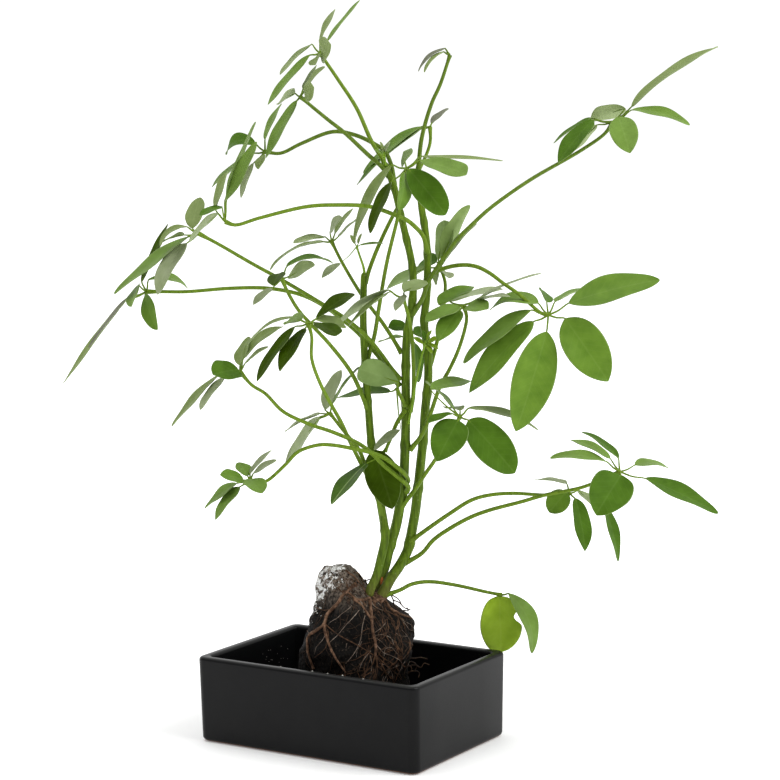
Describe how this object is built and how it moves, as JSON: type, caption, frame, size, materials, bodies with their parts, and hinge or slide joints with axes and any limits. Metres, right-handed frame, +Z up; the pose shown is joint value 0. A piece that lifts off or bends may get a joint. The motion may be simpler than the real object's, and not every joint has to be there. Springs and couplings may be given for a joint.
{
  "type": "potted umbrella plant",
  "caption": "Young umbrella plant with slender green stems and hand-shaped leaves, its roots clasping a lava rock that stands in an open glazed rectangular tray.",
  "frame": {"origin": "centre of the tray's flat underside", "axes": "+Z up, +X along the tray's long side, +Y towards the tray's back"},
  "size_m": [0.3447, 0.2311, 0.4338],
  "materials": {
    "glaze": "semi-matt black glaze",
    "lava": "rough pitted lava with pale mineral specks",
    "bark": "brown young root bark",
    "stem": "smooth green stem skin",
    "leaf": "satin green leaf",
    "shoot": "bright young leaf"
  },
  "bodies": {
    "root": {"tray": "glaze", "lava_rock": "lava", "roots": "bark", "stem_left": "stem", "stem_middle": "stem", "stem_right": "stem", "leaf_top_left_1": "leaf", "leaf_top_left_2": "leaf", "leaf_top_left_3": "leaf", "leaf_upper_left_1": "leaf", "leaf_upper_left_2": "leaf", "leaf_far_left": "leaf", "leaf_mid_left_1": "leaf", "leaf_mid_left_2": "leaf", "leaf_inner_left": "leaf", "leaf_mid_left_3": "leaf", "leaf_low_left_1": "leaf", "leaf_low_left_2": "leaf", "leaf_inner_front": "leaf", "leaf_low_front": "leaf", "leaf_upper_front": "leaf", "leaf_upper_back": "leaf", "leaf_top_sprout": "leaf", "leaf_far_right_top": "leaf", "leaf_right_big": "leaf", "leaf_inner_right": "leaf", "leaf_inner_middle": "leaf", "leaf_inner_hidden": "leaf", "leaf_inner_back": "leaf", "leaf_mid_right": "leaf", "leaf_low_right_1": "leaf", "leaf_low_right_2": "leaf", "leaf_lowest_right": "leaf", "shoot_left_tip": "shoot", "shoot_middle_tip": "shoot", "shoot_right_tuft": "shoot"}
  },
  "joints": []
}
